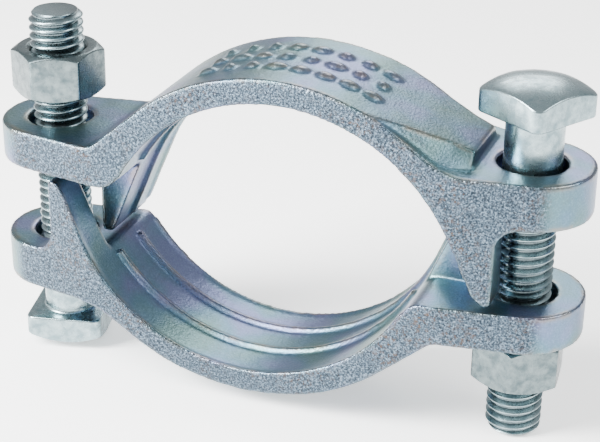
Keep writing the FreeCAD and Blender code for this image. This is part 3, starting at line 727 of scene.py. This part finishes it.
@dataclass
class ScrewThread:
    """Rolled right-hand thread with its run-out and its chamfered end, as a Geometry Nodes tree.

    The crest's and the root's ends are distances from the crest's middle, and the run-out's are
    distances below the thread's top, all in pitches.
    """

    major_radius: float = 6.28 * MM
    pitch: float = 25.4 / 13 * MM
    depth: float = 1.15 * MM
    crest_end: float = 0.09
    root_start: float = 0.39
    run_out_end: float = 0.2
    full_depth_start: float = 1.4
    samples_per_pitch: int = 10
    samples_round: int = 80
    whole_turns_added: float = 100.0
    weld: float = 0.004 * MM

    def mesh(self, top: float, end: float, chamfer: float, finish: bpy.types.Material
             ) -> bpy.types.Mesh:
        """Make the threaded rod.

        Args:
            top: Height where the thread runs out into the shank.
            end: Height of the bolt's tip.
            chamfer: Size of the tip's chamfer.
            finish: The bolt's material.

        Returns:
            A plain mesh with the attribute root, which is one in the roots of the thread.
        """
        sizes = {"Major radius": self.major_radius, "Pitch": self.pitch, "Depth": self.depth,
                 "Top": top, "End": end, "Chamfer": chamfer}
        tree, given = started_tree("screw_thread", sizes)
        calc = partial(calculated, tree)
        turns = (top - end) / self.pitch + 1
        rows = math.ceil(turns * self.samples_per_pitch) + 3
        grid = add_node(tree, "GeometryNodeMeshGrid", {
            "Size X": 1.0, "Size Y": 1.0, "Vertices X": self.samples_round + 1, "Vertices Y": rows})
        apart = add_node(tree, "ShaderNodeSeparateXYZ", {
            0: add_node(tree, "GeometryNodeInputPosition").outputs[0]}).outputs
        round_share = calc("ADD", apart["X"], 0.5)
        row = calc("ROUND", calc("MULTIPLY", calc("ADD", apart["Y"], 0.5), float(rows - 1)))
        angle = calc("MULTIPLY", round_share, 2 * math.pi)
        step = calc("DIVIDE", given["Pitch"], float(self.samples_per_pitch))
        lead = calc("MULTIPLY", round_share, given["Pitch"])
        fall = calc("MULTIPLY", calc("SUBTRACT", row, 1.0), step)
        free_height = calc("ADD", calc("SUBTRACT", given["Top"], fall), lead)
        height = calc("MAXIMUM", given["End"], calc("MINIMUM", given["Top"], free_height))
        turned = calc("DIVIDE", calc("SUBTRACT", height, lead), given["Pitch"])
        phase = calc("FRACT", calc("ADD", turned, self.whole_turns_added))
        from_crest = calc("ABSOLUTE", calc("SUBTRACT", phase, 0.5))
        root = add_node(tree, "ShaderNodeMapRange", {
            "Value": from_crest, "From Min": self.crest_end,
            "From Max": self.root_start}).outputs["Result"]
        run_out = add_node(tree, "ShaderNodeMapRange", {
            "Value": calc("DIVIDE", calc("SUBTRACT", given["Top"], height), given["Pitch"]),
            "From Min": self.run_out_end, "From Max": self.full_depth_start}).outputs["Result"]
        cut = calc("MULTIPLY", root, run_out)
        threaded = calc("SUBTRACT", given["Major radius"], calc("MULTIPLY", cut, given["Depth"]))
        cone = calc("ADD", calc("SUBTRACT", given["Major radius"], given["Chamfer"]),
                    calc("SUBTRACT", height, given["End"]))
        body_radius = calc("MINIMUM", threaded, cone)
        not_first = calc("GREATER_THAN", row, 0.5)
        not_last = calc("LESS_THAN", row, rows - 1.5)
        radius = calc("MULTIPLY", body_radius, calc("MULTIPLY", not_first, not_last))
        spot = add_node(tree, "ShaderNodeCombineXYZ", {
            "X": calc("MULTIPLY", radius, calc("COSINE", angle)),
            "Y": calc("MULTIPLY", radius, calc("SINE", angle)), "Z": height})
        stored = add_node(tree, "GeometryNodeStoreNamedAttribute", {
            "Geometry": grid.outputs["Mesh"], "Name": "root", "Value": cut}, data_type="FLOAT",
            domain="POINT")
        wound = add_node(tree, "GeometryNodeSetPosition", {
            "Geometry": stored.outputs[0], "Position": spot.outputs[0]})
        merged = add_node(tree, "GeometryNodeMergeByDistance", {
            "Geometry": wound.outputs[0], "Distance": self.weld})
        end_tree(tree, merged.outputs[0], finish)

        holder = new_object("thread_blank", bpy.data.meshes.new("thread_blank"))
        run_nodes(holder, tree, sizes)
        mesh = holder.data
        bpy.data.objects.remove(holder)
        return mesh


@dataclass
class Fastener:
    """A bolt or nut of the clamp: where it stands, and how it is turned."""

    node: str
    corner_degrees: float
    finish: bpy.types.Material
    axis_x: float = field(init=False)

    def __post_init__(self) -> None:
        """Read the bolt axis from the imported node."""
        low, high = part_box(self.node)
        self.axis_x = (low.x + high.x) / 2

    def placed(self, mesh: bpy.types.Mesh, turn: Matrix, base: float, slot: str) -> bpy.types.Object:
        """Put a mesh drawn on the Z axis where the fastener stands.

        Args:
            mesh: The mesh, drawn round the Z axis.
            turn: Rotation of the mesh.
            base: Height at which its zero lies.
            slot: Material slot of the record.

        Returns:
            The finished piece.
        """
        mesh.transform(Matrix.Translation((self.axis_x, 0, base)) @ turn)
        mesh.materials.clear()
        mesh.materials.append(self.finish)
        piece = new_object(f"{self.node}_plated", mesh)
        hand_over(piece, self.node, slot, self.node)
        return piece


@dataclass
class SquareHeadBolt(Fastener):
    """Square-head machine bolt with a crowned head, plain shank and rolled thread.

    The crown's shares are places on the way from the axis to the head's side.
    """

    head: Facing = Facing.UP
    head_flats: float = 18.5 * MM
    head_corner: float = 2.1 * MM
    head_height: float = 8.15 * MM
    corner_height: float = 4.85 * MM
    edge_radius: float = 0.5 * MM
    shank_radius: float = 6.33 * MM
    neck_radius: float = 1.1 * MM
    plain_length: float = 19.2 * MM
    length: float = 76.2 * MM
    tip_chamfer: float = 1.2 * MM
    crown_edge_share: float = 0.86
    crown_shares: tuple[float, ...] = (0.7, 0.5, 0.3, 0.12, 0.0)
    hidden_pitches: float = 0.4
    thread: ScrewThread = field(default_factory=ScrewThread)

    def build(self) -> bpy.types.Object:
        """Make the bolt and hand it over."""
        outline = Polygon(4, self.head_flats, self.head_corner)
        corner = outline.reach(0)
        rise = self.head_height - self.corner_height
        ball = (corner ** 2 + rise ** 2) / (2 * rise)

        def crown(distance: float) -> float:
            """Height of the crown at a distance from the axis."""
            return self.head_height - ball + math.sqrt(ball ** 2 - distance ** 2)

        def profile(angle: float) -> list[tuple[float, float]]:
            """Outline from the shank's hidden end, out over the head, to the crown's middle."""
            reach = outline.reach(angle)
            edge = self.crown_edge_share * reach
            corners = [
                (0.0, -self.plain_length, 0), (self.shank_radius, -self.plain_length, 0),
                (self.shank_radius, 0.0, self.neck_radius), (reach, 0.0, self.edge_radius),
                (reach, crown(reach), self.edge_radius), (edge, crown(edge), 0)]
            top = [(share * reach, crown(share * reach)) for share in self.crown_shares]
            return rounded_path(corners) + top

        mesh = turned_mesh(f"{self.node}_head", profile, STEPS_ROUND, closed=False)
        rod = self.thread.mesh(-self.plain_length + self.hidden_pitches * self.thread.pitch,
                               -self.length, self.tip_chamfer, self.finish)
        joined = bmesh.new()
        joined.from_mesh(mesh)
        joined.from_mesh(rod)
        joined.to_mesh(mesh)
        joined.free()
        shade_smooth(mesh, SHARP_DEGREES)
        turn = Matrix.Rotation(math.radians(self.corner_degrees), 4, "Z")
        low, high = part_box(self.node)
        if self.head is Facing.DOWN:
            turn = turn @ Matrix.Rotation(math.pi, 4, "X")
            return self.placed(mesh, turn, high.z - self.length, "bolt")
        return self.placed(mesh, turn, low.z + self.length, "bolt")


@dataclass
class HexNut(Fastener):
    """Hexagon nut, chamfered on both faces."""

    across_flats: float = 19.0 * MM
    corner_radius: float = 0.5 * MM
    face_radius: float = 9.15 * MM
    chamfer_slope: float = math.tan(math.radians(30))
    bore_radius: float = 6.36 * MM
    bore_chamfer: float = 0.8 * MM
    edge_radius: float = 0.35 * MM
    mouth_edge_radius: float = 0.15 * MM

    def build(self) -> bpy.types.Object:
        """Make the nut and hand it over."""
        low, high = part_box(self.node)
        thickness = high.z - low.z
        outline = Polygon(6, self.across_flats, self.corner_radius)

        def profile(angle: float) -> list[tuple[float, float]]:
            """Outline from the bore's lower end, out and over, back down the bore."""
            reach = outline.reach(angle)
            fall = (reach - self.face_radius) * self.chamfer_slope
            mouth = self.bore_radius + self.bore_chamfer
            corners = [
                (self.bore_radius, self.bore_chamfer, 0), (mouth, 0.0, self.mouth_edge_radius),
                (self.face_radius, 0.0, self.edge_radius), (reach, fall, self.edge_radius),
                (reach, thickness - fall, self.edge_radius),
                (self.face_radius, thickness, self.edge_radius),
                (mouth, thickness, self.mouth_edge_radius),
                (self.bore_radius, thickness - self.bore_chamfer, 0)]
            return rounded_path(corners, steps=3)

        mesh = turned_mesh(f"{self.node}_blank", profile, STEPS_ROUND, closed=True)
        shade_smooth(mesh, SHARP_DEGREES)
        turn = Matrix.Rotation(math.radians(self.corner_degrees), 4, "Z")
        return self.placed(mesh, turn, low.z, "nut")


# ---------------------------------------------------------------- studio

@dataclass(frozen=True)
class Lamp:
    """Square soft light that faces the part: its place and side in metres, and its power."""

    name: str
    place: tuple[float, float, float]
    size: float
    watts: float

    def hang(self) -> None:
        """Hang the lamp in the scene."""
        lamp = bpy.data.lights.new(self.name, "AREA")
        lamp.shape = "SQUARE"
        lamp.size = self.size
        lamp.energy = self.watts
        holder = bpy.data.objects.new(self.name, lamp)
        holder.location = self.place
        holder.rotation_euler = (-Vector(self.place)).to_track_quat("-Z", "Y").to_euler()
        bpy.context.scene.collection.objects.link(holder)


LAMPS = (
    Lamp("key", (-0.36, -0.32, 0.30), 0.24, 15.0),
    Lamp("top", (-0.27, -0.35, 0.69), 0.30, 9.0),
    Lamp("back", (-0.15, 0.70, 0.50), 0.40, 3.5),
    Lamp("fill", (0.58, -0.02, 0.50), 0.40, 4.5),
)


@dataclass
class Studio:
    """Pale floor, soft light and the camera."""

    floor_half: float = 3.0
    room_tone: str = "#f2f5f8"
    room_light: float = 0.8
    azimuth: float = 21.29
    elevation: float = 25.43
    roll: float = 0.66
    distance: float = 0.36879
    aim_right: float = 3.83 * MM
    aim_up: float = -1.03 * MM
    lens_mm: float = 96.59
    sensor_mm: float = 36.0
    nearest_seen: float = 0.01

    def build(self) -> None:
        """Set the floor, the lights and the camera."""
        self._floor()
        self._world()
        for lamp in LAMPS:
            lamp.hang()
        self._camera()

    def _floor(self) -> None:
        """Lay the floor under the part's lowest point."""
        lowest = min(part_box(node)[0].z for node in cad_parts)
        mesh = bpy.data.meshes.new("floor")
        half = self.floor_half
        mesh.from_pydata([(-half, -half, lowest), (half, -half, lowest), (half, half, lowest),
                          (-half, half, lowest)], [], [(0, 1, 2, 3)])
        mesh.materials.append(Board().material())
        new_object("floor", mesh)

    def _world(self) -> None:
        """Fill the room with even white light."""
        world = bpy.data.worlds.new("room")
        world.use_nodes = True
        background = world.node_tree.nodes["Background"]
        background.inputs["Color"].default_value = hex_colour(self.room_tone)
        background.inputs["Strength"].default_value = self.room_light
        bpy.context.scene.world = world

    def _camera(self) -> None:
        """Stand the camera at its viewing angle."""
        az, el, roll = (math.radians(v) for v in (self.azimuth, self.elevation, self.roll))
        back = Vector((math.sin(az) * math.cos(el), -math.cos(az) * math.cos(el), math.sin(el)))
        right = Vector((math.cos(az), math.sin(az), 0))
        up = back.cross(right)
        aim = right * self.aim_right + up * self.aim_up
        rolled_right = right * math.cos(roll) + up * math.sin(roll)
        rolled_up = up * math.cos(roll) - right * math.sin(roll)
        view = Matrix((rolled_right, rolled_up, back)).transposed().to_4x4()
        lens = bpy.data.cameras.new("camera")
        lens.lens = self.lens_mm
        lens.sensor_width = self.sensor_mm
        lens.clip_start = self.nearest_seen
        camera = bpy.data.objects.new("camera", lens)
        camera.matrix_world = Matrix.Translation(aim + back * self.distance) @ view
        bpy.context.scene.collection.objects.link(camera)
        bpy.context.scene.camera = camera


def main() -> None:
    """Build the clamp's pieces and the studio."""
    logging.basicConfig(level=logging.INFO, format="%(name)s: %(message)s")
    casting = CastZinc().material()
    bolt_zinc = BarrelZinc("cold_headed_steel_bright_zinc", "#a0b2b5", "#6a7e84").material()
    nut_zinc = BarrelZinc("cold_formed_steel_clear_zinc", "#737f80", "#475458").material()
    CastHalf("upper_half", Facing.UP).build(casting)
    CastHalf("lower_half", Facing.DOWN).build(casting)
    SquareHeadBolt("bolt_right", 14.6, bolt_zinc, Facing.UP).build()
    SquareHeadBolt("bolt_left", 58.6, bolt_zinc, Facing.DOWN).build()
    HexNut("nut_right", 35.6, nut_zinc).build()
    HexNut("nut_left", 24.0, nut_zinc).build()
    Studio().build()


if __name__ == "__main__":
    main()
